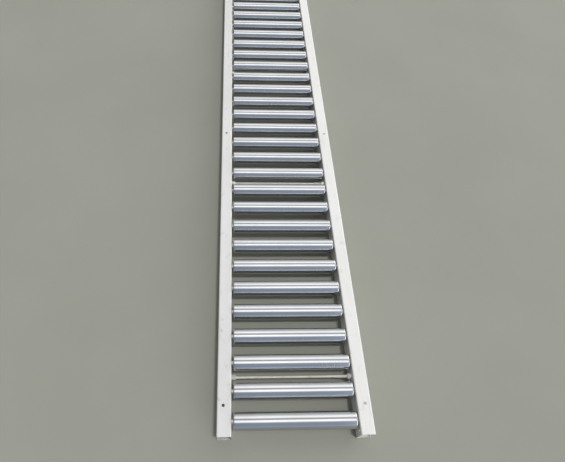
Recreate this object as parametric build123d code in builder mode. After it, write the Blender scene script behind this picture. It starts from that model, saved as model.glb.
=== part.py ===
from build123d import *

import math
import os

# Gravity roller conveyor section: free-turning steel rollers between two cold-formed side rails.
# +Y runs along the conveyor, +X across it, +Z up. The origin is on the floor, under the middle
# of the section. All sizes are in millimetres.

os.makedirs("parts", exist_ok=True)

# ---------------------------------------------------------------------------------------------
# Driving dimensions
# ---------------------------------------------------------------------------------------------

# Layout of the section
roller_count = 30
roller_pitch = 100.0        # axle to axle, along the conveyor
end_margin = 50.0           # first and last axle to the end of the rails
clear_width = 440.0         # between the two webs

# Side rails: lipped channels that open outwards
rail_height = 80.0
flange_width = 50.0
rail_gauge = 3.0
lip_depth = 12.0
bend_inside_radius = 2.0
axle_drop = 20.0            # top of the rail down to the axles

# Rollers
roller_diameter = 60.0
tube_wall = 2.0
roller_end_gap = 8.0        # web to the end of the tube
tube_lip_depth = 2.5        # how far the rolled-in end stands inside the bore
tube_end_radius = 3.0

# Axles
axle_flats = 11.0           # hexagon, across the flats
axle_hole_clearance = 0.15  # all round, in the webs
axle_bore_clearance = 0.05  # all round, in the bearing races
axle_end_length = 12.0      # past the outside of each web
axle_end_chamfer = 1.0
split_pin_diameter = 3.2
split_pin_clearance = 0.2
split_pin_eye_wire = 2.8    # thickness of the eye
split_pin_leg_angle = 35.0  # each leg, bent out from straight

# Bearings: full-complement ball bearings in pressed steel housings
ball_diameter = 8.0
ball_running_clearance = 0.3
inner_groove_clearance = 0.05
inner_groove_depth = 2.0
outer_groove_depth = 1.0
race_wall = 3.1             # axle corner to the bottom of the inner groove
race_boss_margin = 0.5      # how far the boss of a race stands out round its spacer
race_boss_length = 1.5      # how far the boss stands out of the roller
housing_wall = 2.0
housing_depth = 14.0
race_width = 13.0
shield_thickness = 0.8
shield_gap = 0.4            # round the outside
shield_ball_gap = 0.6

# Spacers and washers on the axles
spacer_wall = 1.6
spacer_bore_clearance = 0.1
washer_thickness = 2.0
washer_margin = 5.5         # how far a washer stands out round its hole
washer_bore_clearance = 0.2

# Tie rods, below the gaps between rollers
tie_rod_bays = (2, 11, 19, 28)      # 2 is the gap after the second axle
tie_rod_drop = 10.0         # axle level down to the rods
shank_diameter = 8.5
thread_diameter = 12.0
short_thread_length = 16.0  # from the web inwards, left end
long_thread_length = 46.0   # from the web inwards, right end
thread_taper_length = 8.0
rod_hole_clearance = 0.5    # all round
nut_flats = 19.0
nut_thickness = 10.0
nut_chamfer_angle = 30.0    # both faces, turned off the corners
spring_washer_thickness = 3.0
spring_washer_margin = 4.0  # how far it stands out round its hole
spring_washer_slot = 2.0
rod_tail_length = 4.0       # past the outer nut

# Holes for fastening the section to something else
flange_hole_bays = (1, 14, 29)      # near each end, and one a little off the middle
flange_hole_diameter = 11.0
flange_hole_inset = 22.0    # from the outer edge of the flange
splice_hole_diameter = 9.0
splice_hole_end_distance = 15.0
splice_hole_spacing = 36.0

# ---------------------------------------------------------------------------------------------
# Sizes that follow from them
# ---------------------------------------------------------------------------------------------

rail_length = (roller_count - 1) * roller_pitch + 2 * end_margin
first_axle_y = -(roller_count - 1) * roller_pitch / 2
web_face = clear_width / 2                      # inner face of a web, from the middle
web_back = web_face + rail_gauge
axle_height = rail_height - axle_drop
roller_radius = roller_diameter / 2
bore_radius = roller_radius - tube_wall
tube_end = web_face - roller_end_gap            # end of a roller, from the middle
cut_over = 1.0                                  # how far a cutting tool runs past the metal

axle_corner = axle_flats / math.sqrt(3)         # radius over the corners
ball_radius = ball_diameter / 2
ball_path_radius = axle_corner + race_wall + ball_radius
inner_land_radius = ball_path_radius - ball_radius + inner_groove_depth
outer_land_radius = ball_path_radius + ball_radius - outer_groove_depth
outer_race_radius = ball_path_radius + ball_radius + ball_running_clearance + housing_wall
spacer_bore = axle_corner + spacer_bore_clearance
inner_boss_radius = spacer_bore + spacer_wall + race_boss_margin
housing_face = tube_end - housing_wall          # outer face of a housing, behind the tube's lip
ball_x = housing_face - housing_depth / 2
race_boss_end = tube_end + race_boss_length
shield_inner_face = ball_x + ball_radius + shield_ball_gap

rod_height = axle_height - tie_rod_drop


def bay_y(bay):
    """Middle of the gap that follows axle number `bay`."""
    return first_axle_y + (bay - 0.5) * roller_pitch


# ---------------------------------------------------------------------------------------------
# Side rails
# ---------------------------------------------------------------------------------------------

rail_middle = (web_face + flange_width / 2, rail_height / 2)

with BuildPart() as right_side_rail:
    with BuildSketch(Plane.XZ.offset(rail_length / 2)) as rail_section:
        with Locations(rail_middle):
            Rectangle(flange_width, rail_height)
            Rectangle(flange_width - 2 * rail_gauge, rail_height - 2 * rail_gauge, mode=Mode.SUBTRACT)
        with Locations((web_face + flange_width - rail_gauge / 2, rail_height / 2)):
            Rectangle(rail_gauge + cut_over, rail_height - 2 * lip_depth, mode=Mode.SUBTRACT)
        fillet(rail_section.vertices().sort_by_distance(rail_middle)[-8:-4], bend_inside_radius)
        fillet(rail_section.vertices().sort_by_distance(rail_middle)[-4:], bend_inside_radius + rail_gauge)
    extrude(amount=-rail_length)

    # Through the web: hexagons for the axles, round holes for the tie rods and the splices
    with BuildSketch(Plane.YZ.offset(web_face - cut_over)):
        with Locations((0, axle_height)):
            with GridLocations(roller_pitch, 1, roller_count, 1):
                RegularPolygon(axle_flats / 2 + axle_hole_clearance, 6, major_radius=False)
        with Locations(*[(bay_y(bay), rod_height) for bay in tie_rod_bays]):
            Circle(thread_diameter / 2 + rod_hole_clearance)
        with Locations((0, rail_height / 2)):
            with GridLocations(rail_length - 2 * splice_hole_end_distance, splice_hole_spacing, 2, 2):
                Circle(splice_hole_diameter / 2)
    extrude(amount=rail_gauge + 2 * cut_over, mode=Mode.SUBTRACT)

    # Through both flanges
    with BuildSketch(Plane.XY.offset(-cut_over)):
        flange_hole_x = web_face + flange_width - flange_hole_inset
        with Locations(*[(flange_hole_x, bay_y(bay)) for bay in flange_hole_bays]):
            Circle(flange_hole_diameter / 2)
    extrude(amount=rail_height + 2 * cut_over, mode=Mode.SUBTRACT)
right_side_rail.part.label = "right_side_rail"
export_step(right_side_rail.part, "parts/right_side_rail.step")

with BuildPart() as left_side_rail:
    mirror(right_side_rail.part, about=Plane.YZ)
left_side_rail.part.label = "left_side_rail"
export_step(left_side_rail.part, "parts/left_side_rail.step")

# ---------------------------------------------------------------------------------------------
# Rollers: a tube with a pressed housing in each end
# ---------------------------------------------------------------------------------------------

with BuildPart() as tube:
    with BuildSketch(Plane.XZ):
        with BuildLine():
            lip_radius = bore_radius - tube_lip_depth
            Polyline(
                (-tube_end, lip_radius), (-tube_end, roller_radius),
                (tube_end, roller_radius), (tube_end, lip_radius),
                (housing_face, lip_radius), (housing_face, bore_radius),
                (-housing_face, bore_radius), (-housing_face, lip_radius),
                close=True,
            )
        tube_profile = make_face()
        fillet(tube_profile.vertices().group_by(Axis.Y)[-1], tube_end_radius)
    revolve(axis=Axis.X)

with BuildPart() as right_housing:
    with BuildSketch(Plane.XZ):
        skirt_middle = (housing_face - housing_depth / 2, bore_radius - housing_wall / 2)
        with Locations(skirt_middle):
            Rectangle(housing_depth, housing_wall)
        race_middle = (ball_x, (outer_land_radius + outer_race_radius) / 2)
        with Locations(race_middle):
            Rectangle(housing_depth, outer_race_radius - outer_land_radius)
        with Locations((housing_face - housing_wall / 2, (outer_land_radius + bore_radius) / 2)):
            Rectangle(housing_wall, bore_radius - outer_land_radius)
        with Locations((ball_x, ball_path_radius)):
            Circle(ball_radius + ball_running_clearance, mode=Mode.SUBTRACT)
    revolve(axis=Axis.X)

with BuildPart() as left_housing:
    mirror(right_housing.part, about=Plane.YZ)

# The tube and its housings touch, so a builder would fuse them: a compound keeps them apart.
for number in range(1, roller_count + 1):
    place = Pos(0, first_axle_y + (number - 1) * roller_pitch, axle_height)
    pieces = [place * piece.part for piece in (tube, left_housing, right_housing)]
    roller = Compound(label=f"roller_{number:02d}", children=pieces)
    export_step(roller, f"parts/roller_{number:02d}.step")

# ---------------------------------------------------------------------------------------------
# Axles and what sits on them
# ---------------------------------------------------------------------------------------------

axle_length = 2 * (web_back + axle_end_length)
pin_x = web_back + washer_thickness + split_pin_diameter / 2 + split_pin_clearance

with BuildPart() as axle:
    with BuildSketch(Plane.YZ.offset(-axle_length / 2)):
        RegularPolygon(axle_flats / 2, 6, major_radius=False)
    extrude(amount=axle_length)
    chamfer(axle.faces().filter_by(Axis.X).edges(), axle_end_chamfer)
    with Locations((-pin_x, 0, 0), (pin_x, 0, 0)):
        Cylinder(
            (split_pin_diameter + split_pin_clearance) / 2, 2 * (axle_corner + cut_over), mode=Mode.SUBTRACT
        )

with BuildPart() as axles:
    with Locations((0, 0, axle_height)):
        with GridLocations(1, roller_pitch, 1, roller_count):
            add(axle.part)
axles.part.label = "axles"
export_step(axles.part, "parts/axles.step")

# Inner races: hexagon bore, ball groove, and a boss that stands out of the roller
with BuildPart() as right_race:
    with BuildSketch(Plane.XZ):
        with Locations((ball_x, inner_land_radius / 2)):
            Rectangle(race_width, inner_land_radius)
        with Locations(((ball_x + race_boss_end) / 2, inner_boss_radius / 2)):
            Rectangle(race_boss_end - ball_x, inner_boss_radius)
        with Locations((ball_x + race_width / 2, inner_land_radius)):
            Rectangle(2 * (ball_x + race_width / 2 - shield_inner_face),
                      2 * (inner_land_radius - inner_boss_radius), mode=Mode.SUBTRACT)
        with Locations((ball_x, ball_path_radius)):
            Circle(ball_radius + inner_groove_clearance, mode=Mode.SUBTRACT)
    revolve(axis=Axis.X)
    with BuildSketch(Plane.YZ.offset(ball_x - race_width)):
        RegularPolygon(axle_flats / 2 + axle_bore_clearance, 6, major_radius=False)
    extrude(amount=race_width + tube_end, mode=Mode.SUBTRACT)

with BuildPart() as bearing_inner_races:
    with Locations((0, 0, axle_height)):
        with GridLocations(1, roller_pitch, 1, roller_count):
            add(right_race.part)
    mirror(about=Plane.YZ)
bearing_inner_races.part.label = "bearing_inner_races"
export_step(bearing_inner_races.part, "parts/bearing_inner_races.step")

# The loose balls of a bearing fill its groove, so each row is one ring of the balls' own diameter
with BuildPart() as bearing_ball_rows:
    with Locations((0, 0, axle_height)):
        with GridLocations(2 * ball_x, roller_pitch, 2, roller_count):
            Torus(ball_path_radius, ball_radius, rotation=(0, 90, 0))
bearing_ball_rows.part.label = "bearing_ball_rows"
export_step(bearing_ball_rows.part, "parts/bearing_ball_rows.step")


def ring_stations(distance):
    """Planes across every axle, at this distance each side of the middle."""
    along = [first_axle_y + index * roller_pitch for index in range(roller_count)]
    return [Plane(origin=(side * distance, y, axle_height), x_dir=(0, 1, 0), z_dir=(side, 0, 0))
            for side in (-1, 1) for y in along]


with BuildPart() as bearing_shields:
    with BuildSketch(*ring_stations(shield_inner_face)):
        Circle(outer_land_radius - shield_gap)
        Circle(inner_boss_radius, mode=Mode.SUBTRACT)
    extrude(amount=shield_thickness)
bearing_shields.part.label = "bearing_shields"
export_step(bearing_shields.part, "parts/bearing_shields.step")

with BuildPart() as axle_spacers:
    with BuildSketch(*ring_stations(race_boss_end)):
        Circle(spacer_bore + spacer_wall)
        Circle(spacer_bore, mode=Mode.SUBTRACT)
    extrude(amount=web_face - race_boss_end)
axle_spacers.part.label = "axle_spacers"
export_step(axle_spacers.part, "parts/axle_spacers.step")

axle_washer_bore = axle_corner + washer_bore_clearance

with BuildPart() as axle_washers:
    with BuildSketch(*ring_stations(web_back)):
        Circle(axle_washer_bore + washer_margin)
        Circle(axle_washer_bore, mode=Mode.SUBTRACT)
    extrude(amount=washer_thickness)
axle_washers.part.label = "axle_washers"
export_step(axle_washers.part, "parts/axle_washers.step")

# Split pins: an eye, a shank through the axle, and two legs bent apart underneath
pin_shank_length = axle_flats + split_pin_diameter
pin_eye_radius = split_pin_diameter
pin_wire_radius = split_pin_diameter / 4
pin_leg_length = 2 * split_pin_diameter

with BuildPart() as split_pin:
    Cylinder(split_pin_diameter / 2, pin_shank_length)
    with Locations((0, 0, pin_shank_length / 2 + pin_eye_radius)):
        Torus(pin_eye_radius, split_pin_eye_wire / 2, rotation=(0, 90, 0))
    for side in (-1, 1):
        leg_root = (0, side * pin_wire_radius, -pin_shank_length / 2)
        with Locations(Location(leg_root, (side * split_pin_leg_angle, 0, 0))):
            Cylinder(
                pin_wire_radius, pin_leg_length, align=(Align.CENTER, Align.CENTER, Align.MAX)
            )

with BuildPart() as axle_split_pins:
    with Locations((0, 0, axle_height)):
        with GridLocations(2 * pin_x, roller_pitch, 2, roller_count):
            add(split_pin.part)
axle_split_pins.part.label = "axle_split_pins"
export_step(axle_split_pins.part, "parts/axle_split_pins.step")

# ---------------------------------------------------------------------------------------------
# Tie rods with a washer, a spring washer and a nut each side of both webs
# ---------------------------------------------------------------------------------------------

stack_thickness = washer_thickness + spring_washer_thickness + nut_thickness
rod_end = web_back + stack_thickness + rod_tail_length

with BuildPart() as tie_rod:
    with BuildSketch(Plane.XZ):
        with BuildLine():
            thread_radius = thread_diameter / 2
            shank_radius = shank_diameter / 2
            short_thread_end = -web_face + short_thread_length
            long_thread_end = web_face - long_thread_length
            Polyline(
                (-rod_end, 0), (-rod_end, thread_radius),
                (short_thread_end, thread_radius),
                (short_thread_end + thread_taper_length, shank_radius),
                (long_thread_end - thread_taper_length, shank_radius),
                (long_thread_end, thread_radius),
                (rod_end, thread_radius), (rod_end, 0),
                close=True,
            )
        make_face()
    revolve(axis=Axis.X)
    chamfer(tie_rod.faces().filter_by(Axis.X).edges(), axle_end_chamfer)

with BuildPart() as tie_rods:
    with Locations(*[(0, bay_y(bay), rod_height) for bay in tie_rod_bays]):
        add(tie_rod.part)
tie_rods.part.label = "tie_rods"
export_step(tie_rods.part, "parts/tie_rods.step")

with BuildPart() as nut:
    with BuildSketch(Plane.YZ):
        RegularPolygon(nut_flats / 2, 6, major_radius=False)
        Circle(thread_diameter / 2, mode=Mode.SUBTRACT)
    extrude(amount=nut_thickness)
    # A cone at each face turns the corners off, down to the flats
    with BuildSketch(Plane.XZ):
        nut_corner = nut_flats / math.sqrt(3)
        corner_cut = (nut_corner - nut_flats / 2) * math.tan(math.radians(nut_chamfer_angle))
        with BuildLine():
            Polyline(
                (0, 0), (0, nut_flats / 2), (corner_cut, nut_corner),
                (nut_thickness - corner_cut, nut_corner), (nut_thickness, nut_flats / 2),
                (nut_thickness, 0), close=True,
            )
        make_face()
    revolve(axis=Axis.X, mode=Mode.INTERSECT)

rod_washer_bore = thread_diameter / 2 + washer_bore_clearance
spring_washer_rim = rod_washer_bore + spring_washer_margin

with BuildPart() as spring_washer:
    with BuildSketch(Plane.YZ):
        Circle(spring_washer_rim)
        Circle(rod_washer_bore, mode=Mode.SUBTRACT)
        with Locations((0, spring_washer_rim)):
            Rectangle(spring_washer_slot, 2 * (spring_washer_rim - rod_washer_bore + cut_over), mode=Mode.SUBTRACT)
    extrude(amount=spring_washer_thickness)


def rod_planes(distance, outward):
    """Planes across every tie rod on each web, facing away from the web they lie against."""
    return [
        Plane(origin=(side * distance, bay_y(bay), rod_height), x_dir=(0, 1, 0), z_dir=(side * outward, 0, 0))
        for side in (-1, 1) for bay in tie_rod_bays
    ]


for name, distance, outward in (("inner", web_face, -1), ("outer", web_back, 1)):
    with BuildPart() as rod_washers:
        with BuildSketch(*rod_planes(distance, outward)):
            Circle(rod_washer_bore + washer_margin)
            Circle(rod_washer_bore, mode=Mode.SUBTRACT)
        extrude(amount=washer_thickness)
    rod_washers.part.label = f"tie_rod_{name}_washers"
    export_step(rod_washers.part, f"parts/tie_rod_{name}_washers.step")

    with BuildPart() as rod_nuts:
        nut_seat = distance + outward * (stack_thickness - nut_thickness)
        with Locations(*rod_planes(nut_seat, outward)):
            add(nut.part, rotation=(0, -90, 0))
    rod_nuts.part.label = f"tie_rod_{name}_nuts"
    export_step(rod_nuts.part, f"parts/tie_rod_{name}_nuts.step")

with BuildPart() as tie_rod_spring_washers:
    for distance, outward in ((web_face, -1), (web_back, 1)):
        with Locations(*rod_planes(distance + outward * washer_thickness, outward)):
            add(spring_washer.part, rotation=(0, -90, 0))
tie_rod_spring_washers.part.label = "tie_rod_spring_washers"
export_step(tie_rod_spring_washers.part, "parts/tie_rod_spring_washers.step")
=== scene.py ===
import math
import random

import bmesh
import bpy
from mathutils import Matrix, Vector


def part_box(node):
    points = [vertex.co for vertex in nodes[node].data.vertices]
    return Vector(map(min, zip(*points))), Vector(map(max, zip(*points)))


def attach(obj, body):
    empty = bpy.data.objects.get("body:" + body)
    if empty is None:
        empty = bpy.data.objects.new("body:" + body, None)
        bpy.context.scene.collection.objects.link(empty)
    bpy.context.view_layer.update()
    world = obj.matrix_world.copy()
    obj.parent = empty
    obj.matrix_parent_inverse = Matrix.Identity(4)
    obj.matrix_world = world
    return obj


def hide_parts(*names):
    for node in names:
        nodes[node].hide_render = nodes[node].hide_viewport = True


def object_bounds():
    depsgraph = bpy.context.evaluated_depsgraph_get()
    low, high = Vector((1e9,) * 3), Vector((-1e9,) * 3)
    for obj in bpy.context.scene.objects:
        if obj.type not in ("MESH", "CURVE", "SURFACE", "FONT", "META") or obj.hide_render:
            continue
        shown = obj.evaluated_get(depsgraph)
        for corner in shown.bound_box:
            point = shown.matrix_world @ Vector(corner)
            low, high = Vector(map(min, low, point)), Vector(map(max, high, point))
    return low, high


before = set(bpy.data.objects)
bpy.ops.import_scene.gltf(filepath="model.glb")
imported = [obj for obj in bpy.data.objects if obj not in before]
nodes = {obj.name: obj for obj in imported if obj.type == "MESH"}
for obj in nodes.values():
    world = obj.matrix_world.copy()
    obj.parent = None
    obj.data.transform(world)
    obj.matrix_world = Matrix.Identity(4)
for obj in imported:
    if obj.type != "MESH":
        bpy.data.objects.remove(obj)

cad_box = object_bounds()
MM = 0.001

# --- Side rails ------------------------------------------------------------------------------
# Two lipped channels, cold-rolled from 3 mm strip, punched, then powder-coated white.
# Everything else bolts or slots into them. The coat is satin with a fine orange peel, is
# scuffed along the top by the goods, and is chipped to grey steel on its cut edges.

# Both rails share one coat. The left rail's whites are painted darker as painted shade, and the right rail's
# whites are painted lighter as painted light. The left rail also carries more real wear.
COAT_LIT, COAT_LIT_AGED = (0.92, 0.915, 0.90), (0.87, 0.865, 0.85)
COAT_SHADED, COAT_SHADED_AGED = (0.83, 0.83, 0.83), (0.75, 0.75, 0.745)
CUT_STEEL = (0.34, 0.315, 0.27)
SCUFF_GREY = (0.42, 0.42, 0.43)
SMUDGE_GREY = (0.40, 0.39, 0.38)
DUST_BROWN = (0.31, 0.28, 0.225)
BARE_STEEL = (0.30, 0.30, 0.31)


def shader_group(name, inputs, outputs):
    """A node group with the named sockets; returns the group and its two ends."""
    group = bpy.data.node_groups.new(name, "ShaderNodeTree")
    for label, kind, value in inputs:
        socket = group.interface.new_socket(label, in_out="INPUT", socket_type=kind)
        socket.default_value = value
    for label, kind in outputs:
        group.interface.new_socket(label, in_out="OUTPUT", socket_type=kind)
    return group, group.nodes.new("NodeGroupInput"), group.nodes.new("NodeGroupOutput")


def join(tree, start, end):
    """Links two sockets, in the order that the signal runs."""
    tree.links.new(end, start)


def math_node(tree, operation, *values):
    """A Math node whose inputs are numbers or sockets; returns its output."""
    node = tree.nodes.new("ShaderNodeMath")
    node.operation = operation
    for slot, value in zip(node.inputs, values):
        if isinstance(value, (int, float)):
            slot.default_value = value
        else:
            join(tree, value, slot)
    return node.outputs[0]


def noise_node(tree, vector, scale, detail=3.0, roughness=0.55, distortion=0.0):
    """A 3-D noise read at this vector; returns its value output."""
    node = tree.nodes.new("ShaderNodeTexNoise")
    join(tree, vector, node.inputs["Vector"])
    for label, value in (("Scale", scale), ("Detail", detail), ("Roughness", roughness),
                         ("Distortion", distortion)):
        if isinstance(value, (int, float)):
            node.inputs[label].default_value = value
        else:
            join(tree, value, node.inputs[label])
    return node.outputs["Fac"]


def range_node(tree, value, low, high, to_low=0.0, to_high=1.0):
    """Maps low..high to to_low..to_high with soft ends; returns the result."""
    node = tree.nodes.new("ShaderNodeMapRange")
    node.interpolation_type = "SMOOTHSTEP"
    join(tree, value, node.inputs["Value"])
    for label, bound in (("From Min", low), ("From Max", high), ("To Min", to_low), ("To Max", to_high)):
        if isinstance(bound, (int, float)):
            node.inputs[label].default_value = bound
        else:
            join(tree, bound, node.inputs[label])
    return node.outputs["Result"]


def stretched(tree, vector, stretch):
    """The vector scaled by a plain tuple or a socket, so that noise runs along one axis."""
    node = tree.nodes.new("ShaderNodeVectorMath")
    node.operation = "MULTIPLY"
    join(tree, vector, node.inputs[0])
    if isinstance(stretch, tuple):
        node.inputs[1].default_value = stretch
    else:
        join(tree, stretch, node.inputs[1])
    return node.outputs[0]


def mix_colours(tree, factor, low, high):
    """Mixes two colours, each a tuple or a socket, by a mask; returns the colour."""
    node = tree.nodes.new("ShaderNodeMix")
    node.data_type = "RGBA"
    for label, value in (("Factor_Float", factor), ("A_Color", low), ("B_Color", high)):
        socket = next(s for s in node.inputs if s.identifier == label)
        if isinstance(value, tuple):
            socket.default_value = (*value, 1.0)
        elif isinstance(value, (int, float)):
            socket.default_value = value
        else:
            join(tree, value, socket)
    return next(s for s in node.outputs if s.identifier == "Result_Color")


def placed_group(tree, group, **values):
    """Puts a node group in a material with its own values; returns the node."""
    node = tree.nodes.new("ShaderNodeGroup")
    node.node_tree = group
    for label, value in values.items():
        socket = node.inputs[label.replace("_", " ").capitalize()]
        if isinstance(value, (int, float, tuple)):
            socket.default_value = value
        else:
            join(tree, value, socket)
    return node


def finish_material(name, **sockets):
    """An empty metal-or-paint material; returns it, its tree, its shader and its object coordinates."""
    material = bpy.data.materials.new(name)
    material.use_nodes = True
    tree = material.node_tree
    shader = tree.nodes["Principled BSDF"]
    for label, value in sockets.items():
        shader.inputs[label.replace("_", " ")].default_value = value
    place = tree.nodes.new("ShaderNodeTexCoord").outputs["Object"]
    return material, tree, shader, place


def bump(tree, shader, height, distance, strength=1.0):
    """Feeds a height to the shader's normal, over this distance in metres."""
    node = tree.nodes.new("ShaderNodeBump")
    node.inputs["Distance"].default_value = distance
    node.inputs["Strength"].default_value = strength
    join(tree, height, node.inputs["Height"])
    join(tree, node.outputs["Normal"], shader.inputs["Normal"])


def refinish(name, material):
    """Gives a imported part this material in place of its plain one."""
    nodes[name].data.materials.clear()
    nodes[name].data.materials.append(material)


# Scuffs: sparse streaks, broken up by a second noise so that they start and stop
scuffs, ends_in, ends_out = shader_group(
    "Scuffs",
    [("Vector", "NodeSocketVector", (0, 0, 0)), ("Stretch", "NodeSocketVector", (1, 1, 1)),
     ("Patch scale", "NodeSocketFloat", 6.0), ("Threshold", "NodeSocketFloat", 0.6)],
    [("Mask", "NodeSocketFloat")],
)
spread = stretched(scuffs, ends_in.outputs["Vector"], ends_in.outputs["Stretch"])
streak = noise_node(scuffs, spread, 1.0, 4.0, 0.6)
streak = range_node(scuffs, streak, ends_in.outputs["Threshold"],
                    math_node(scuffs, "ADD", ends_in.outputs["Threshold"], 0.12))
patch = noise_node(scuffs, ends_in.outputs["Vector"], ends_in.outputs["Patch scale"], 2.0)
join(scuffs, math_node(scuffs, "MULTIPLY", streak, range_node(scuffs, patch, 0.5, 0.62)),
     ends_out.inputs["Mask"])

# Edge wear: where a rounded normal leaves the true one, broken up by noise
edge_wear, ends_in, ends_out = shader_group(
    "Edge wear",
    [("Vector", "NodeSocketVector", (0, 0, 0)), ("Grain", "NodeSocketFloat", 200.0),
     ("Amount", "NodeSocketFloat", 0.5)],
    [("Mask", "NodeSocketFloat")],
)
rounded = edge_wear.nodes.new("ShaderNodeBevel")
rounded.samples = 4
rounded.inputs["Radius"].default_value = 1.2 * MM
true_normal = edge_wear.nodes.new("ShaderNodeNewGeometry").outputs["Normal"]
dot = edge_wear.nodes.new("ShaderNodeVectorMath")
dot.operation = "DOT_PRODUCT"
join(edge_wear, rounded.outputs["Normal"], dot.inputs[0])
join(edge_wear, true_normal, dot.inputs[1])
edge = range_node(edge_wear, math_node(edge_wear, "SUBTRACT", 1.0, dot.outputs["Value"]), 0.01, 0.12)
chips = noise_node(edge_wear, ends_in.outputs["Vector"], ends_in.outputs["Grain"], 4.0, 0.6)
chips = range_node(edge_wear, chips, math_node(edge_wear, "SUBTRACT", 1.0, ends_in.outputs["Amount"]),
                   math_node(edge_wear, "SUBTRACT", 1.08, ends_in.outputs["Amount"]))
join(edge_wear, math_node(edge_wear, "MULTIPLY", edge, chips), ends_out.inputs["Mask"])

# Cloudiness: slow change of tone over a surface, such as handling and settled dust
clouding, ends_in, ends_out = shader_group(
    "Clouding",
    [("Vector", "NodeSocketVector", (0, 0, 0)), ("Size", "NodeSocketFloat", 4.0),
     ("Fine size", "NodeSocketFloat", 60.0)],
    [("Mask", "NodeSocketFloat")],
)
slow = noise_node(clouding, ends_in.outputs["Vector"], ends_in.outputs["Size"], 3.0)
slow = range_node(clouding, slow, 0.3, 0.7)
fine = noise_node(clouding, ends_in.outputs["Vector"], ends_in.outputs["Fine size"], 5.0, 0.65)
join(clouding, math_node(clouding, "MULTIPLY_ADD", slow, 0.7, math_node(clouding, "MULTIPLY", fine, 0.3)),
     ends_out.inputs["Mask"])

# Smudges: small soft dirty marks, where hands and goods have touched
smudges, ends_in, ends_out = shader_group(
    "Smudges",
    [("Vector", "NodeSocketVector", (0, 0, 0)), ("Stretch", "NodeSocketVector", (1, 1, 1)),
     ("Rarity", "NodeSocketFloat", 0.62)],
    [("Mask", "NodeSocketFloat")],
)
spread = stretched(smudges, ends_in.outputs["Vector"], ends_in.outputs["Stretch"])
blot = noise_node(smudges, spread, 1.0, 2.0, 0.5, 0.6)
blot = range_node(smudges, blot, ends_in.outputs["Rarity"],
                  math_node(smudges, "ADD", ends_in.outputs["Rarity"], 0.16))
grit = range_node(smudges, noise_node(smudges, spread, 9.0, 4.0, 0.7), 0.3, 0.7, 0.35, 1.0)
join(smudges, math_node(smudges, "MULTIPLY", blot, grit), ends_out.inputs["Mask"])

# Settled dust: on faces that look up, below a height, broken up by noise
dust, ends_in, ends_out = shader_group(
    "Settled dust",
    [("Vector", "NodeSocketVector", (0, 0, 0)), ("Below", "NodeSocketFloat", 0.03)],
    [("Mask", "NodeSocketFloat")],
)
facing = dust.nodes.new("ShaderNodeSeparateXYZ")
join(dust, dust.nodes.new("ShaderNodeNewGeometry").outputs["Normal"], facing.inputs[0])
upward = range_node(dust, facing.outputs["Z"], 0.3, 0.9)
standing = dust.nodes.new("ShaderNodeSeparateXYZ")
join(dust, ends_in.outputs["Vector"], standing.inputs[0])
low_down = math_node(dust, "LESS_THAN", standing.outputs["Z"], ends_in.outputs["Below"])
drift = range_node(dust, noise_node(dust, ends_in.outputs["Vector"], 28.0, 6.0, 0.65), 0.25, 0.75, 0.3, 1.0)
join(dust, math_node(dust, "MULTIPLY", math_node(dust, "MULTIPLY", upward, low_down), drift),
     ends_out.inputs["Mask"])

# The cut ends of a section, which the coat barely covers
cut_ends, ends_in, ends_out = shader_group(
    "Cut ends", [("Vector", "NodeSocketVector", (0, 0, 0))], [("Mask", "NodeSocketFloat")])
facing = cut_ends.nodes.new("ShaderNodeSeparateXYZ")
join(cut_ends, cut_ends.nodes.new("ShaderNodeNewGeometry").outputs["Normal"], facing.inputs[0])
endwise = range_node(cut_ends, math_node(cut_ends, "ABSOLUTE", facing.outputs["Y"]), 0.9, 0.99)
standing = cut_ends.nodes.new("ShaderNodeSeparateXYZ")
join(cut_ends, ends_in.outputs["Vector"], standing.inputs[0])
at_end = math_node(cut_ends, "GREATER_THAN", math_node(cut_ends, "ABSOLUTE", standing.outputs["Y"]),
                   cad_box[1].y - 1 * MM)
thin = range_node(cut_ends, noise_node(cut_ends, ends_in.outputs["Vector"], 90.0, 4.0), 0.3, 0.6, 0.45, 1.0)
join(cut_ends, math_node(cut_ends, "MULTIPLY", math_node(cut_ends, "MULTIPLY", endwise, at_end), thin),
     ends_out.inputs["Mask"])


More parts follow.
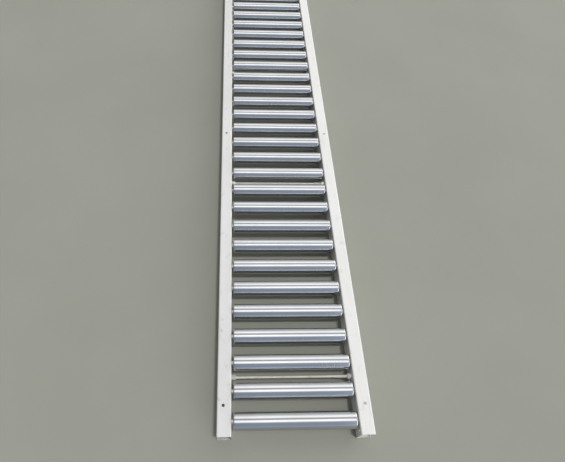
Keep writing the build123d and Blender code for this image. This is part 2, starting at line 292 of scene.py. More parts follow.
def coat(name, white, aged, wear):
    """The white coat of one rail, between two whites, with this much wear; the lighter whites are painted
    light and the darker ones painted shade.
    """
    rail_paint, tree, shader, place = finish_material(name, IOR=1.5)
    tone = placed_group(tree, clouding, vector=place, size=3.0, fine_size=45.0).outputs["Mask"]
    scuffed = placed_group(tree, scuffs, vector=place, stretch=(90.0, 9.0, 90.0), patch_scale=5.0,
                           threshold=0.56).outputs["Mask"]
    touched = placed_group(tree, smudges, vector=place, stretch=(34.0, 22.0, 34.0),
                           rarity=0.60).outputs["Mask"]
    chipped = placed_group(tree, edge_wear, vector=place, grain=160.0, amount=0.42).outputs["Mask"]
    dusty = placed_group(tree, dust, vector=place, below=0.03).outputs["Mask"]
    ends = placed_group(tree, cut_ends, vector=place).outputs["Mask"]
    colour = mix_colours(tree, tone, white, aged)
    colour = mix_colours(tree, math_node(tree, "MULTIPLY", touched, 0.55 * wear), colour, SMUDGE_GREY)
    colour = mix_colours(tree, math_node(tree, "MULTIPLY", scuffed, 0.4 * wear), colour, SCUFF_GREY)
    colour = mix_colours(tree, math_node(tree, "MULTIPLY", dusty, 0.85), colour, DUST_BROWN)
    colour = mix_colours(tree, ends, colour, CUT_STEEL)
    colour = mix_colours(tree, chipped, colour, BARE_STEEL)
    join(tree, colour, shader.inputs["Base Color"])
    gloss = math_node(tree, "MULTIPLY_ADD", tone, 0.16, 0.26)
    gloss = math_node(tree, "MULTIPLY_ADD", math_node(tree, "MAXIMUM", dusty, ends), 0.4, gloss)
    join(tree, math_node(tree, "MULTIPLY_ADD", scuffed, 0.2, gloss), shader.inputs["Roughness"])
    peel = noise_node(tree, place, 420.0, 2.0, 0.4)
    peel = math_node(tree, "SUBTRACT", peel, math_node(tree, "MULTIPLY", chipped, 0.8))
    bump(tree, shader, peel, 0.12 * MM, 0.6)
    return rail_paint


# Left rail: whites painted darker as painted shade, with full wear. Right rail: whites painted lighter as
# painted light, with half the wear.
refinish("left_side_rail", coat("White powder coat, painted darker for shade, more worn", COAT_SHADED, COAT_SHADED_AGED, 1.0))
refinish("right_side_rail", coat("White powder coat, painted lighter for light, less worn", COAT_LIT, COAT_LIT_AGED, 0.5))

# --- Rollers ---------------------------------------------------------------------------------
# Drawn steel tube, bright zinc plated, with its ends rolled in over a pressed bearing housing.
# The plate is nearly a mirror. Draw lines run along the tube, goods leave fine rings round it,
# and a faint weld line runs from end to end at a different place on each roller.

TUBE_WALL = 2.0 * MM
END_RADIUS = 3.0 * MM
END_LIP = 2.5 * MM
TUBE_SEGMENTS = 144
ARC_STEPS = 6
ZINC_BRIGHT = (0.61, 0.62, 0.64)
ZINC_WORN = (0.51, 0.52, 0.54)
GRIME = (0.16, 0.15, 0.13)


def arc(centre, radius, start, stop, steps=ARC_STEPS):
    """Points (along, out) on an arc, with angles in degrees from the axis direction."""
    points = []
    for step in range(steps + 1):
        angle = math.radians(start + (stop - start) * step / steps)
        points.append((centre[0] + radius * math.cos(angle), centre[1] + radius * math.sin(angle)))
    return points


def turned(profile, segments):
    """A bmesh solid of revolution about the X axis; profile is a closed loop of (x, radius)."""
    shape = bmesh.new()
    rings = []
    for index in range(segments):
        angle = 2 * math.pi * index / segments
        up, side = math.cos(angle), math.sin(angle)
        rings.append([shape.verts.new((x, r * side, r * up)) for x, r in profile])
    for index in range(segments):
        ring, following = rings[index], rings[(index + 1) % segments]
        for step in range(len(profile)):
            ahead = (step + 1) % len(profile)
            shape.faces.new((ring[step], ring[ahead], following[ahead], following[step]))
    bmesh.ops.recalc_face_normals(shape, faces=shape.faces)
    return shape


def repeated(name, shape, places, smooth_angle=35.0):
    """One piece made of a copy of the shape at each place; frees the shape."""
    points = [v.co.copy() for v in shape.verts]
    loops = [[v.index for v in face.verts] for face in shape.faces]
    shape.free()
    mesh = bpy.data.meshes.new(name)
    corners = [place @ point for place in places for point in points]
    faces = [[index + turn * len(points) for index in loop] for turn in range(len(places)) for loop in loops]
    mesh.from_pydata(corners, [], faces)
    mesh.shade_smooth()
    mesh.set_sharp_from_angle(angle=math.radians(smooth_angle))
    return bpy.data.objects.new(name, mesh)


def add_piece(piece, material, body, slot, *parts):
    """Shows a new piece with its material, on its body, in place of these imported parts."""
    bpy.context.scene.collection.objects.link(piece)
    piece.data.materials.append(material)
    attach(piece, body)
    if parts:
        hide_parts(*parts)
    return piece


roller_zinc, tree, shader, place = finish_material("Bright zinc on tube", Metallic=1.0, IOR=1.5)
draw_lines = noise_node(tree, stretched(tree, place, (3.0, 900.0, 900.0)), 1.0, 3.0, 0.6)
rings = noise_node(tree, stretched(tree, place, (1400.0, 12.0, 12.0)), 1.0, 4.0, 0.65)
tone = placed_group(tree, clouding, vector=place, size=9.0, fine_size=70.0).outputs["Mask"]
worn = placed_group(tree, scuffs, vector=place, stretch=(420.0, 30.0, 30.0), patch_scale=8.0,
                    threshold=0.58).outputs["Mask"]
spots = placed_group(tree, smudges, vector=place, stretch=(120.0, 120.0, 120.0), rarity=0.70).outputs["Mask"]
seam = tree.nodes.new("ShaderNodeAttribute")
seam.attribute_name = "seam"
weld = range_node(tree, seam.outputs["Fac"], 0.2, 0.9)
patchy = range_node(tree, noise_node(tree, place, 130.0, 3.0), 0.3, 0.6, 0.5, 1.0)
weld = math_node(tree, "MULTIPLY", weld, patchy)
colour = mix_colours(tree, math_node(tree, "MULTIPLY_ADD", tone, 0.5, math_node(tree, "MULTIPLY", worn, 0.5)),
                     ZINC_BRIGHT, ZINC_WORN)
grimy = math_node(tree, "MULTIPLY_ADD", weld, 0.25, math_node(tree, "MULTIPLY", spots, 0.8))
colour = mix_colours(tree, grimy, colour, GRIME)
join(tree, colour, shader.inputs["Base Color"])
gloss = math_node(tree, "MULTIPLY_ADD", tone, 0.07, 0.09)
gloss = math_node(tree, "MULTIPLY_ADD", rings, 0.06, gloss)
gloss = math_node(tree, "MULTIPLY_ADD", math_node(tree, "MAXIMUM", weld, spots), 0.25, gloss)
join(tree, math_node(tree, "MULTIPLY_ADD", worn, 0.14, gloss), shader.inputs["Roughness"])
relief = math_node(tree, "MULTIPLY_ADD", draw_lines, 0.6, math_node(tree, "MULTIPLY", rings, 0.4))
relief = math_node(tree, "MULTIPLY_ADD", weld, 2.5, relief)
bump(tree, shader, relief, 0.01 * MM, 0.5)

rollers = sorted(name for name in nodes if name.startswith("roller_"))
low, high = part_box(rollers[0])
tube_half, tube_radius = (high.x - low.x) / 2, (high.z - low.z) / 2
bore = tube_radius - TUBE_WALL
corner = (tube_half - END_RADIUS, tube_radius - END_RADIUS)
right_end = arc(corner, END_RADIUS, 90, 0) + [
    (tube_half, bore - END_LIP + 0.6 * MM), (tube_half - 0.4 * MM, bore - END_LIP),
    (tube_half - TUBE_WALL, bore - END_LIP), (tube_half - TUBE_WALL, bore)]
tube_profile = right_end + [(-x, r) for x, r in reversed(right_end)]
axle_lines = [(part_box(name)[0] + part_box(name)[1]) / 2 for name in rollers]
chance = random.Random(5)
for name, centre in zip(rollers, axle_lines):
    spun = Matrix.Translation(centre) @ Matrix.Rotation(chance.uniform(0, 2 * math.pi), 4, "X")
    tube = repeated(f"tube_{name[-2:]}", turned(tube_profile, TUBE_SEGMENTS), [spun])
    on_seam = tube.data.attributes.new("seam", "FLOAT", "POINT")
    on_seam.data.foreach_set("value", [float(i < len(tube_profile)) for i in range(len(tube.data.vertices))])
    add_piece(tube, roller_zinc, name, "roller_steel", name)

# --- Bearing housings ------------------------------------------------------------------------
# A cup pressed from 2 mm strip and forced into each end of the tube, where the rolled-in lip
# holds it. Its inner skirt is the outer race. Thin plating, dull, with press rings.

HOUSING_WALL = 2.0 * MM
HOUSING_DEPTH = 14.0 * MM
PRESS_RADIUS = 1.5 * MM
BALL_RADIUS = 4.0 * MM
BALL_PATH = 13.45 * MM
OUTER_LAND = BALL_PATH + 3.0 * MM
RACE_OUTSIDE = BALL_PATH + BALL_RADIUS + 2.3 * MM
HOUSING_GREY = (0.62, 0.61, 0.58)
HOUSING_DULL = (0.44, 0.43, 0.40)

housing_steel, tree, shader, place = finish_material("Pressed steel, thin plating", Metallic=1.0, IOR=1.5)
tone = placed_group(tree, clouding, vector=place, size=60.0, fine_size=400.0).outputs["Mask"]
oily = placed_group(tree, smudges, vector=place, stretch=(150.0, 150.0, 150.0), rarity=0.52).outputs["Mask"]
colour = mix_colours(tree, tone, HOUSING_GREY, HOUSING_DULL)
colour = mix_colours(tree, math_node(tree, "MULTIPLY", oily, 0.6), colour, GRIME)
join(tree, colour, shader.inputs["Base Color"])
join(tree, math_node(tree, "MULTIPLY_ADD", tone, 0.2, 0.26), shader.inputs["Roughness"])
bump(tree, shader, noise_node(tree, place, 500.0, 3.0), 0.03 * MM, 0.5)

face = tube_half - TUBE_WALL
back = face - HOUSING_DEPTH
groove = arc((face - HOUSING_DEPTH / 2, BALL_PATH), BALL_RADIUS + 0.3 * MM, 45, 135, 8)
cup = [(back, bore), (back, bore - HOUSING_WALL)]
cup += arc((face - HOUSING_WALL - PRESS_RADIUS, bore - HOUSING_WALL - PRESS_RADIUS), PRESS_RADIUS, 90, 0, 4)
cup += arc((face - HOUSING_WALL - PRESS_RADIUS, RACE_OUTSIDE + PRESS_RADIUS), PRESS_RADIUS, 0, -90, 4)
cup += [(back, RACE_OUTSIDE), (back, OUTER_LAND)] + list(reversed(groove))
cup += arc((face - PRESS_RADIUS, OUTER_LAND + PRESS_RADIUS), PRESS_RADIUS, -90, 0, 4) + [(face, bore)]
turn_round = Matrix.Rotation(math.pi, 4, "Z")
for name, centre in zip(rollers, axle_lines):
    there = Matrix.Translation(centre)
    housings = repeated(f"housings_{name[-2:]}", turned(cup, 72), [there, there @ turn_round])
    add_piece(housings, housing_steel, name, "bearing_steel", name)

# --- Balls, races and shields ----------------------------------------------------------------
# A full row of 8 mm balls runs in each bearing, between the housing and a turned inner race
# that grips the axle. A dished shield, phosphated black, keeps dust out of each row.

BALL_SHINE = (0.72, 0.72, 0.73)
BALL_OILED = (0.40, 0.37, 0.32)
RACE_GREY = (0.56, 0.56, 0.57)
RACE_STAIN = (0.36, 0.34, 0.31)
SHIELD_BLACK = (0.055, 0.055, 0.06)
SHIELD_RUBBED = (0.20, 0.20, 0.21)

ball_steel, tree, shader, place = finish_material(
    "Polished balls with a film of grease", Metallic=1.0, IOR=1.5)
grease = placed_group(tree, clouding, vector=place, size=110.0, fine_size=600.0).outputs["Mask"]
join(tree, mix_colours(tree, grease, BALL_SHINE, BALL_OILED), shader.inputs["Base Color"])
join(tree, math_node(tree, "MULTIPLY_ADD", grease, 0.25, 0.05), shader.inputs["Roughness"])

ball = bmesh.new()
bmesh.ops.create_uvsphere(ball, u_segments=12, v_segments=8, radius=BALL_RADIUS)
ball_count = int(2 * math.pi * BALL_PATH / (2 * BALL_RADIUS))
ball_x = tube_half - TUBE_WALL - HOUSING_DEPTH / 2
seats = []
for centre in axle_lines:
    for side in (-1, 1):
        start = chance.uniform(0, 2 * math.pi)
        for index in range(ball_count):
            angle = start + 2 * math.pi * index / ball_count
            seats.append(Matrix.Translation(centre + Vector(
                (side * ball_x, BALL_PATH * math.sin(angle), BALL_PATH * math.cos(angle)))))
balls = repeated("bearing_balls", ball, seats, 180.0)
add_piece(balls, ball_steel, "frame", "bearing_steel", "bearing_ball_rows")

race_steel, tree, shader, place = finish_material("Turned race steel", Metallic=1.0, IOR=1.5)
tone = placed_group(tree, clouding, vector=place, size=80.0, fine_size=500.0).outputs["Mask"]
rubbed = placed_group(tree, edge_wear, vector=place, grain=600.0, amount=0.6).outputs["Mask"]
join(tree, mix_colours(tree, rubbed, mix_colours(tree, tone, RACE_GREY, RACE_STAIN), BALL_SHINE),
     shader.inputs["Base Color"])
join(tree, math_node(tree, "MULTIPLY_ADD", tone, 0.2, 0.2), shader.inputs["Roughness"])
tool_rings = noise_node(tree, stretched(tree, place, (3000.0, 20.0, 20.0)), 1.0, 2.0)
bump(tree, shader, tool_rings, 0.02 * MM, 0.5)
refinish("bearing_inner_races", race_steel)

shield_steel, tree, shader, place = finish_material("Phosphated shield", Metallic=0.6, IOR=1.5)
tone = placed_group(tree, clouding, vector=place, size=90.0, fine_size=700.0).outputs["Mask"]
rubbed = placed_group(tree, edge_wear, vector=place, grain=500.0, amount=0.55).outputs["Mask"]
colour = mix_colours(tree, tone, SHIELD_BLACK, SHIELD_RUBBED)
join(tree, mix_colours(tree, rubbed, colour, RACE_GREY), shader.inputs["Base Color"])
join(tree, math_node(tree, "MULTIPLY_ADD", tone, 0.2, 0.45), shader.inputs["Roughness"])
bump(tree, shader, noise_node(tree, place, 900.0, 3.0), 0.02 * MM, 0.6)


SOLID_GAP = 20 * MM


def solids(name, both_sides=True):
    """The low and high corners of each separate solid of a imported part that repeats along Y."""
    points = [v.co for v in nodes[name].data.vertices]
    found = []
    for keep in ((lambda p: p.x < 0, lambda p: p.x > 0) if both_sides else (lambda p: True,)):
        row = sorted((p for p in points if keep(p)), key=lambda p: p.y)
        group = [row[0]]
        for point in row[1:] + [None]:
            if point is None or point.y - group[-1].y > SOLID_GAP:
                found.append((Vector(map(min, zip(*group))), Vector(map(max, zip(*group)))))
                group = []
            if point is not None:
                group.append(point)
    return found


def facing_out(low, high):
    """A place at the inner face of a solid on either side, with its X axis pointing outwards."""
    right_hand = low.x > 0
    foot = Vector((low.x if right_hand else high.x, (low.y + high.y) / 2, (low.z + high.z) / 2))
    return Matrix.Translation(foot) if right_hand else Matrix.Translation(foot) @ turn_round


low, high = solids("bearing_shields")[0]
rim, plate = (high.z - low.z) / 2, high.x - low.x
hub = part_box("axle_spacers")[1].z - axle_lines[0].z + 0.5 * MM
dish = [(0, hub), (0, hub + 2.2 * MM), (0.25 * plate, hub + 3.0 * MM), (0.25 * plate, rim - 1.6 * MM),
        (0, rim - 0.8 * MM), (0, rim), (0.6 * plate, rim), (plate, rim - 0.4 * MM),
        (plate, rim - 1.2 * MM), (0.85 * plate, rim - 2.0 * MM), (0.85 * plate, hub + 3.4 * MM),
        (plate, hub + 2.6 * MM), (plate, hub)]
shields = repeated("shields", turned(dish, 48),
                   [facing_out(*corners) for corners in solids("bearing_shields")], 50.0)
add_piece(shields, shield_steel, "frame", "shield_steel", "bearing_shields")

# --- Axles -----------------------------------------------------------------------------------
# Cold-drawn hexagon bar, 11 mm across flats, cut to length, chamfered and cross-drilled. The
# hexagon fits the webs, so it can't turn. Oiled bare steel with a little rust in patches.

BAR_BRIGHT = (0.58, 0.57, 0.56)
BAR_DULL = (0.38, 0.37, 0.36)
RUST = (0.20, 0.085, 0.035)

axle_steel, tree, shader, place = finish_material("Cold-drawn bar", Metallic=1.0, IOR=1.5)
grain = noise_node(tree, stretched(tree, place, (12.0, 1600.0, 1600.0)), 1.0, 3.0, 0.6)
tone = placed_group(tree, clouding, vector=place, size=30.0, fine_size=300.0).outputs["Mask"]
rusty = placed_group(tree, smudges, vector=place, stretch=(260.0, 260.0, 260.0), rarity=0.58).outputs["Mask"]
rubbed = placed_group(tree, edge_wear, vector=place, grain=500.0, amount=0.6).outputs["Mask"]
tarnish = math_node(tree, "MULTIPLY_ADD", tone, 0.6, math_node(tree, "MULTIPLY", grain, 0.4))
colour = mix_colours(tree, tarnish, BAR_BRIGHT, BAR_DULL)
colour = mix_colours(tree, rubbed, colour, BALL_SHINE)
colour = mix_colours(tree, math_node(tree, "MULTIPLY", rusty, 0.7), colour, RUST)
join(tree, colour, shader.inputs["Base Color"])
join(tree, math_node(tree, "SUBTRACT", 1.0, rusty), shader.inputs["Metallic"])
gloss = math_node(tree, "MULTIPLY_ADD", grain, 0.18, 0.24)
join(tree, math_node(tree, "MULTIPLY_ADD", rusty, 0.4, gloss), shader.inputs["Roughness"])
bump(tree, shader, grain, 0.03 * MM, 0.5)
refinish("axles", axle_steel)

# --- Spacers, washers and split pins ---------------------------------------------------------
# Short tubes keep the bearings off the webs. Outside each web a punched washer and a split pin
# through the axle hold it. All are zinc plated: clear and dull, with a faint yellow bloom.

PLATE_CLEAR = (0.84, 0.84, 0.82)
PLATE_BLOOM = (0.76, 0.72, 0.62)
PLATE_GREY = (0.62, 0.62, 0.60)

fastener_zinc, tree, shader, place = finish_material("Dull zinc on fasteners", Metallic=0.6, IOR=1.5)
tone = placed_group(tree, clouding, vector=place, size=70.0, fine_size=450.0).outputs["Mask"]
bloom = range_node(tree, noise_node(tree, place, 55.0, 2.0), 0.42, 0.66)
dirty = placed_group(tree, smudges, vector=place, stretch=(220.0, 220.0, 220.0), rarity=0.56).outputs["Mask"]
rubbed = placed_group(tree, edge_wear, vector=place, grain=450.0, amount=0.6).outputs["Mask"]
colour = mix_colours(tree, tone, PLATE_CLEAR, PLATE_GREY)
colour = mix_colours(tree, math_node(tree, "MULTIPLY", bloom, 0.55), colour, PLATE_BLOOM)
colour = mix_colours(tree, math_node(tree, "MULTIPLY", dirty, 0.6), colour, GRIME)
colour = mix_colours(tree, rubbed, colour, BALL_SHINE)
join(tree, colour, shader.inputs["Base Color"])
gloss = math_node(tree, "MULTIPLY_ADD", tone, 0.2, 0.26)
join(tree, math_node(tree, "MULTIPLY_ADD", dirty, 0.25, gloss), shader.inputs["Roughness"])
bump(tree, shader, noise_node(tree, place, 1100.0, 3.0), 0.03 * MM, 0.5)

AXLE_CORNER = 11.0 * MM / math.sqrt(3)
EDGE_BREAK = 0.35 * MM
low, high = solids("axle_spacers")[0]
length, outside, inside = high.x - low.x, (high.z - low.z) / 2, AXLE_CORNER + 0.1 * MM
collar = [(0, inside + EDGE_BREAK), (0, outside - EDGE_BREAK), (EDGE_BREAK, outside),
          (length - EDGE_BREAK, outside), (length, outside - EDGE_BREAK), (length, inside + EDGE_BREAK),
          (length - EDGE_BREAK, inside), (EDGE_BREAK, inside)]
spacers = repeated("spacers", turned(collar, 40),
                   [facing_out(*corners) for corners in solids("axle_spacers")])
add_piece(spacers, fastener_zinc, "frame", "fastener_zinc", "axle_spacers")


def washer(name, bore_radius):
    """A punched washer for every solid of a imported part: rolled over on one face, sharp on the other."""
    corners = solids(name)
    low, high = corners[0]
    thick, outside = high.x - low.x, (high.z - low.z) / 2
    roll = 0.45 * thick
    section = [(0, bore_radius), (0, outside - 0.1 * MM), (0.1 * MM, outside)]
    section += list(reversed(arc((thick - roll, outside - roll), roll, 0, 90, 4)))
    section += [(thick, bore_radius + 0.5 * roll), (thick - 0.5 * roll, bore_radius)]
    piece = repeated(f"plain_{name}", turned(section, 56), [facing_out(*corner) for corner in corners])
    add_piece(piece, fastener_zinc, "frame", "fastener_zinc", name)


washer("axle_washers", AXLE_CORNER + 0.2 * MM)

# A split pin is one half-round wire, folded back on itself round an eye, with its legs bent apart
WIRE_RADIUS = 1.55 * MM
EYE_INSIDE = 2.4 * MM
LEG_ANGLE = 35.0
LEG_LENGTH = 6.2 * MM
LEG_RISE = 5.6 * MM
WIRE_SIDES = 7
low, high = solids("axle_split_pins")[0]
eye_top, leg_tip = high.z - axle_lines[0].z, axle_lines[0].z - low.z
shank_end = leg_tip - LEG_RISE
eye_middle = eye_top - EYE_INSIDE - WIRE_RADIUS
legs = [(LEG_LENGTH * math.sin(math.radians(LEG_ANGLE)) * t,
         -shank_end - LEG_LENGTH * math.cos(math.radians(LEG_ANGLE)) * t) for t in (1.0, 0.6, 0.25, 0.08)]
shank = [(0.0, -shank_end + 0.5 * MM), (0.0, 0.0), (0.0, eye_middle - EYE_INSIDE - 1.0 * MM)]
half_eye = [(EYE_INSIDE * math.sin(math.radians(angle)),
             eye_middle - EYE_INSIDE * math.cos(math.radians(angle))) for angle in range(15, 181, 15)]
one_side = [(y + 0.02 * MM, z) for y, z in legs + shank + half_eye[:-1]]
line = one_side + [(0.0, half_eye[-1][1])] + [(-y, z) for y, z in reversed(one_side)]

pin = bmesh.new()
sections = []
for index, (y, z) in enumerate(line):
    before, after = line[max(index - 1, 0)], line[min(index + 1, len(line) - 1)]
    along = Vector((0, after[0] - before[0], after[1] - before[1])).normalized()
    outward = Vector((0, along.z, -along.y))
    ring = []
    for step in range(WIRE_SIDES):
        angle = math.pi * step / (WIRE_SIDES - 1)
        ring.append(pin.verts.new(Vector((0, y, z)) + WIRE_RADIUS * (
            math.cos(angle) * Vector((1, 0, 0)) + math.sin(angle) * outward)))
    sections.append(ring)
for ring, following in zip(sections, sections[1:]):
    for step in range(WIRE_SIDES):
        ahead = (step + 1) % WIRE_SIDES
        pin.faces.new((ring[step], ring[ahead], following[ahead], following[step]))
for ring in (sections[0], sections[-1]):
    pin.faces.new(ring)
bmesh.ops.recalc_face_normals(pin, faces=pin.faces)
places = [Matrix.Translation(((a.x + b.x) / 2, (a.y + b.y) / 2, axle_lines[0].z)) @
          Matrix.Rotation(chance.uniform(-0.12, 0.12), 4, "Z") for a, b in solids("axle_split_pins")]
pins = repeated("split_pins", pin, places, 50.0)
add_piece(pins, fastener_zinc, "frame", "fastener_zinc", "axle_split_pins")

# --- Tie rods --------------------------------------------------------------------------------
# Steel rod under the gaps between the rollers, with an M12 thread rolled on each end: short on
# the left, long on the right. A nut and washer each side of both webs set the rails' distance.
# The plating on the shank has gone warm and matt.

SHANK_RADIUS = 4.25 * MM
THREAD_RADIUS = 6.0 * MM
THREAD_PITCH = 1.75 * MM
THREAD_DEPTH = 0.95 * MM
SHORT_THREAD = 16.0 * MM
LONG_THREAD = 46.0 * MM
TAPER = 8.0 * MM
ROD_SEGMENTS = 28
STEPS_PER_TURN = 6
ROD_CREAM = (0.84, 0.83, 0.78)
ROD_STAIN = (0.68, 0.66, 0.59)

rod_zinc, tree, shader, place = finish_material("Warm matt plating on rod", IOR=1.5)
tone = placed_group(tree, clouding, vector=place, size=22.0, fine_size=260.0).outputs["Mask"]
stained = placed_group(tree, smudges, vector=place, stretch=(60.0, 120.0, 120.0), rarity=0.55).outputs["Mask"]
rubbed = placed_group(tree, edge_wear, vector=place, grain=450.0, amount=0.5).outputs["Mask"]
colour = mix_colours(tree, tone, ROD_CREAM, ROD_STAIN)
colour = mix_colours(tree, math_node(tree, "MULTIPLY", stained, 0.5), colour, GRIME)
join(tree, mix_colours(tree, rubbed, colour, PLATE_CLEAR), shader.inputs["Base Color"])
join(tree, math_node(tree, "MULTIPLY_ADD", rubbed, 0.35, 0.1), shader.inputs["Metallic"])
join(tree, math_node(tree, "MULTIPLY_ADD", tone, 0.2, 0.38), shader.inputs["Roughness"])
bump(tree, shader, noise_node(tree, stretched(tree, place, (150.0, 900.0, 900.0)), 1.0, 3.0), 0.05 * MM, 0.5)

rods = solids("tie_rods", both_sides=False)
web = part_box("right_side_rail")[0].x
rod_half = rods[0][1].x
short_end, long_end = -web + SHORT_THREAD, web - LONG_THREAD


def thread_height(x, angle):
    """How far the thread's surface stands above its root, at this place along and round the rod."""
    phase = (x / THREAD_PITCH + angle / (2 * math.pi)) % 1.0
    return THREAD_DEPTH * min(1.0, max(0.0, 1.25 - 2.5 * abs(phase - 0.5)))


def rod_radius(x, angle):
    """The rod's radius: a thread at each end, run out into the thinner shank."""
    into_shank = min(1.0, max(0.0, min(x - short_end, long_end - x) / TAPER))
    root = THREAD_RADIUS - THREAD_DEPTH
    plain = root + (SHANK_RADIUS - root) * into_shank
    end_chamfer = max(0.0, 1.0 * MM - (rod_half - abs(x)))
    fading = (1.0 - 1.6 * into_shank) * float(into_shank < 0.6)
    return plain + max(0.0, thread_height(x, angle) * fading - end_chamfer)


stations = []
for start, stop, step in ((-rod_half, short_end + TAPER, THREAD_PITCH / STEPS_PER_TURN),
                          (short_end + TAPER, long_end - TAPER, 20 * MM),
                          (long_end - TAPER, rod_half, THREAD_PITCH / STEPS_PER_TURN)):
    count = math.ceil((stop - start) / step)
    stations += [start + (stop - start) * index / count for index in range(count)]
stations.append(rod_half)
rod = bmesh.new()
rings = [[rod.verts.new((x, rod_radius(x, a) * math.sin(a), rod_radius(x, a) * math.cos(a)))
          for a in (2 * math.pi * index / ROD_SEGMENTS for index in range(ROD_SEGMENTS))] for x in stations]
for ring, following in zip(rings, rings[1:]):
    for step in range(ROD_SEGMENTS):
        ahead = (step + 1) % ROD_SEGMENTS
        rod.faces.new((ring[step], ring[ahead], following[ahead], following[step]))
for ring in (rings[0], rings[-1]):
    rod.faces.new(ring)
bmesh.ops.recalc_face_normals(rod, faces=rod.faces)
places = [Matrix.Translation((a + b) / 2) @ Matrix.Rotation(chance.uniform(0, 6), 4, "X") for a, b in rods]
threaded_rods = repeated("threaded_rods", rod, places, 40.0)
add_piece(threaded_rods, rod_zinc, "frame", "tie_rod_steel", "tie_rods")

for name in ("tie_rod_inner_nuts", "tie_rod_outer_nuts", "tie_rod_spring_washers"):
    refinish(name, fastener_zinc)
for name in ("tie_rod_inner_washers", "tie_rod_outer_washers"):
    washer(name, THREAD_RADIUS + 0.2 * MM)

# --- Floor, light and camera -----------------------------------------------------------------
# A pale matte floor under soft studio light: a bright ceiling panel and far wall, and one soft
# key light high up, a little to the right and towards the camera, that leaves no highlight.

FLOOR_SIZE = 30.0
MATTE_SHARE = 0.57
KEY_STRENGTH, KEY_SOFTNESS = 1.2, 7.0
EYE = Vector((-0.2146, -1.6971, 1.6754))
FLOOR_PALE = (0.355, 0.36, 0.315)
FLOOR_MARKED = (0.33, 0.335, 0.29)
floor_mesh = bpy.data.meshes.new("floor")
shape = bmesh.new()
bmesh.ops.create_grid(shape, x_segments=1, y_segments=1, size=FLOOR_SIZE / 2)
shape.to_mesh(floor_mesh)
shape.free()
floor = bpy.data.objects.new("floor", floor_mesh)
bpy.context.scene.collection.objects.link(floor)
floor_paint, tree, shader, place = finish_material("Pale floor", Roughness=0.8)
tone = placed_group(tree, clouding, vector=place, size=1.5, fine_size=30.0).outputs["Mask"]
join(tree, mix_colours(tree, tone, FLOOR_PALE, FLOOR_MARKED), shader.inputs["Base Color"])
floor.data.materials.append(floor_paint)

# The surroundings by angle from the near horizon, over the top, to the far horizon
SURROUNDINGS = (
    (0, (0.27, 0.31, 0.37)), (10, (0.35, 0.40, 0.48)), (22, (0.265, 0.305, 0.37)),
    (50, (0.28, 0.325, 0.39)), (61, (0.33, 0.37, 0.43)), (67, (0.75, 0.78, 0.84)),
    (75, (1.5, 1.5, 1.49)), (91, (1.3, 1.3, 1.29)), (97, (0.54, 0.54, 0.55)),
    (104, (0.36, 0.36, 0.36)), (110, (0.42, 0.42, 0.42)), (119, (0.98, 0.98, 0.97)),
    (130, (1.36, 1.36, 1.34)), (143, (1.00, 1.00, 0.98)), (155, (0.70, 0.70, 0.69)),
    (168, (0.47, 0.47, 0.46)), (180, (0.30, 0.30, 0.29)),
)
BACKDROP = (0.74, 0.76, 0.78)
world = bpy.data.worlds.new("Studio")
bpy.context.scene.world = world
world.use_nodes = True
tree = world.node_tree
direction = tree.nodes.new("ShaderNodeTexCoord").outputs["Generated"]
parts = tree.nodes.new("ShaderNodeSeparateXYZ")
join(tree, direction, parts.inputs[0])
over = math_node(tree, "ARCTAN2", parts.outputs["Z"], math_node(tree, "MULTIPLY", parts.outputs["Y"], -1.0))
sky = tree.nodes.new("ShaderNodeValToRGB")
join(tree, math_node(tree, "DIVIDE", over, math.pi), sky.inputs["Fac"])
sky.color_ramp.interpolation = "LINEAR"
stops = sky.color_ramp.elements
for index, (angle, tint) in enumerate(SURROUNDINGS):
    stop = stops[index] if index < 2 else stops.new(angle / 180)
    stop.position = angle / 180
    stop.color = (*tint, 1.0)
side = range_node(tree, parts.outputs["X"], -0.45, -0.02, 0.44, 1.26)
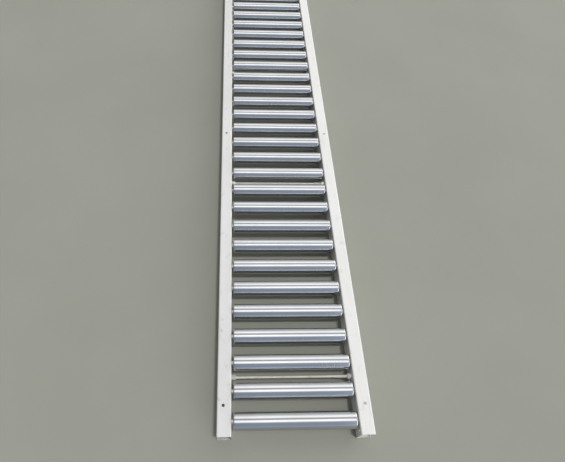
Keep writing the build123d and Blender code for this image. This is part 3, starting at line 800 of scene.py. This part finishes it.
# On the right the light comes from low near and far panels, and little from overhead
level = math_node(tree, "COSINE", over)
panels = math_node(tree, "MULTIPLY_ADD", math_node(tree, "MULTIPLY", level, level), 3.0, 0.25)
towards_right = range_node(tree, parts.outputs["X"], 0.36, 0.6)
background = tree.nodes["Background"]
join(tree, mix_colours(tree, towards_right, sky.outputs["Color"], panels), background.inputs["Color"])
# Matte surfaces are lit by a fixed share of what the glossy ones reflect; the key lights the rest
rays = tree.nodes.new("ShaderNodeLightPath")
matte_share = range_node(tree, rays.outputs["Is Diffuse Ray"], 0.0, 1.0, 1.0, MATTE_SHARE)
join(tree, math_node(tree, "MULTIPLY", side, matte_share), background.inputs["Strength"])
plain = tree.nodes.new("ShaderNodeBackground")
plain.inputs["Color"].default_value = (*BACKDROP, 1.0)
chooser = tree.nodes.new("ShaderNodeMixShader")
join(tree, rays.outputs["Is Camera Ray"], chooser.inputs["Fac"])
join(tree, background.outputs[0], chooser.inputs[1])
join(tree, plain.outputs[0], chooser.inputs[2])
join(tree, chooser.outputs[0], tree.nodes["World Output"].inputs["Surface"])

KEY_TILT_RIGHT, KEY_TILT_NEAR = 11.0, 9.0
key_data = bpy.data.lights.new("key", "SUN")
key_data.energy = KEY_STRENGTH
key_data.angle = math.radians(KEY_SOFTNESS)
key_data.color = (1.0, 0.985, 0.96)
key = bpy.data.objects.new("key", key_data)
bpy.context.scene.collection.objects.link(key)
from_key = Vector((math.tan(math.radians(KEY_TILT_RIGHT)), -math.tan(math.radians(KEY_TILT_NEAR)), 1.0))
key.rotation_euler = from_key.to_track_quat("Z", "Y").to_euler()
key.visible_glossy = False

# Eye height of a standing person, over the left end of the first roller
camera_data = bpy.data.cameras.new("camera")
camera_data.lens = 27.73
camera_data.sensor_width = 36.0
camera_data.shift_x = 0.0571
camera = bpy.data.objects.new("camera", camera_data)
bpy.context.scene.collection.objects.link(camera)
forward = Vector((0.03954, 0.53461, -0.84417))
right = Vector((0.99922, -0.02041, 0.03387))
up = right.cross(forward)
turned_to_rails = Matrix((right, up, -forward)).transposed().to_4x4()
camera.matrix_world = Matrix.Translation(EYE) @ turned_to_rails
bpy.context.scene.camera = camera
bpy.context.scene.view_settings.view_transform = "Standard"
